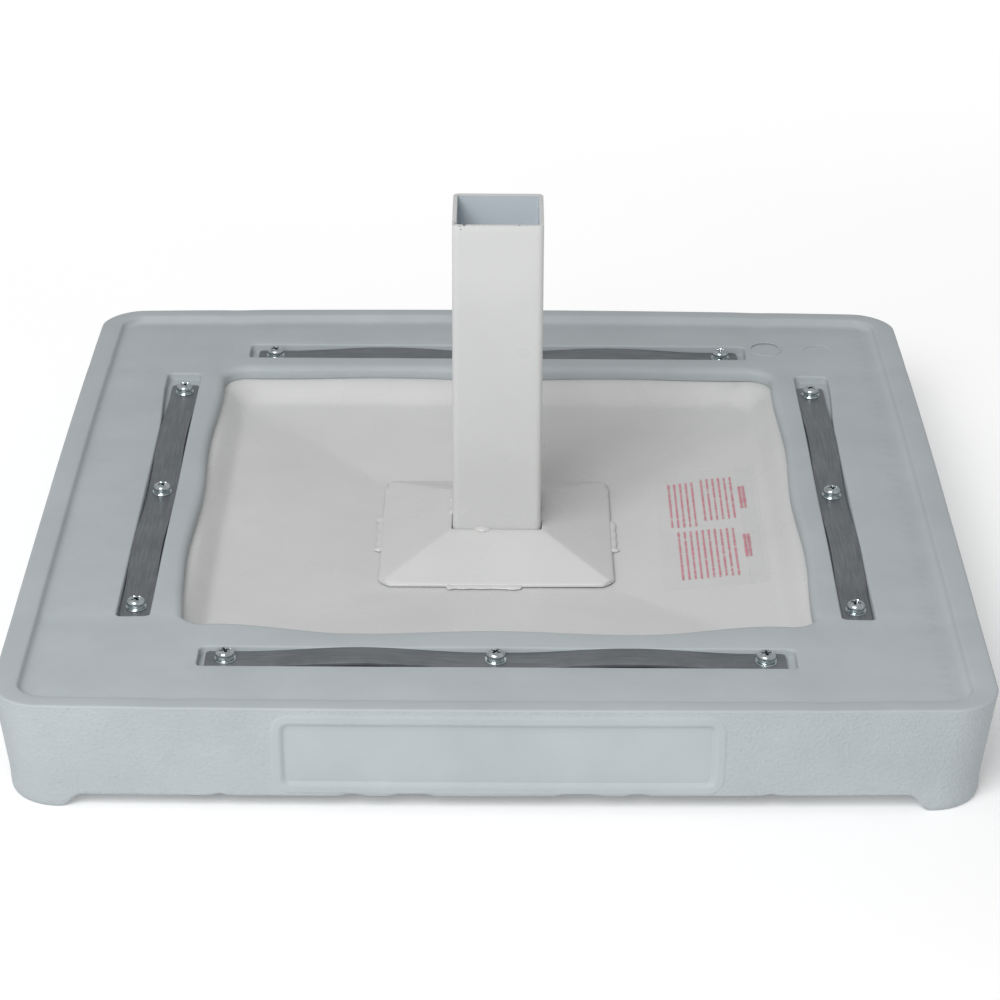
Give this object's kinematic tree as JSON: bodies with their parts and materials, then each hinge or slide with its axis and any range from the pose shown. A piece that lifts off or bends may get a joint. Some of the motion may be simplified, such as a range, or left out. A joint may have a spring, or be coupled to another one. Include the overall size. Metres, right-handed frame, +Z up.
{
  "type": "security gate base",
  "caption": "Free-standing gate base: grooved moulded surround around a sunken steel pan with a braced, open square socket post.",
  "frame": {"origin": "on the post's axis, level with the bottoms of the four feet", "axes": "+Z up along the post; -Y is the side with the recessed panel; +X is the side with the pan label"},
  "size_m": [0.61, 0.62, 0.2754],
  "materials": {
    "surround": "matte, fine moulded grain",
    "powder_coat": "white powder coat, satin",
    "strip_steel": "dull rolled flat bar",
    "zinc": "bright zinc plate",
    "film": "clear film with faded red marks"
  },
  "bodies": {
    "root": {"base_surround": "surround", "steel_pan": "powder_coat", "brace_plate": "powder_coat", "post_tube": "powder_coat", "clamp_strip_front": "strip_steel", "clamp_strip_right": "strip_steel", "clamp_strip_rear": "strip_steel", "clamp_strip_left": "strip_steel", "strip_screw_front_1": "zinc", "weld_nut_front_1": "zinc", "strip_screw_front_2": "zinc", "weld_nut_front_2": "zinc", "strip_screw_front_3": "zinc", "weld_nut_front_3": "zinc", "strip_screw_right_1": "zinc", "weld_nut_right_1": "zinc", "strip_screw_right_2": "zinc", "weld_nut_right_2": "zinc", "strip_screw_right_3": "zinc", "weld_nut_right_3": "zinc", "strip_screw_rear_1": "zinc", "weld_nut_rear_1": "zinc", "strip_screw_rear_2": "zinc", "weld_nut_rear_2": "zinc", "strip_screw_rear_3": "zinc", "weld_nut_rear_3": "zinc", "strip_screw_left_1": "zinc", "weld_nut_left_1": "zinc", "strip_screw_left_2": "zinc", "weld_nut_left_2": "zinc", "strip_screw_left_3": "zinc", "weld_nut_left_3": "zinc", "plate_weld_front": "powder_coat", "plate_weld_right": "powder_coat", "plate_weld_rear": "powder_coat", "plate_weld_left": "powder_coat", "post_weld_front": "powder_coat", "post_weld_right": "powder_coat", "post_weld_rear": "powder_coat", "post_weld_left": "powder_coat", "root_weld_front": "powder_coat", "root_weld_right": "powder_coat", "root_weld_rear": "powder_coat", "root_weld_left": "powder_coat", "pan_label": "film"}
  },
  "joints": []
}
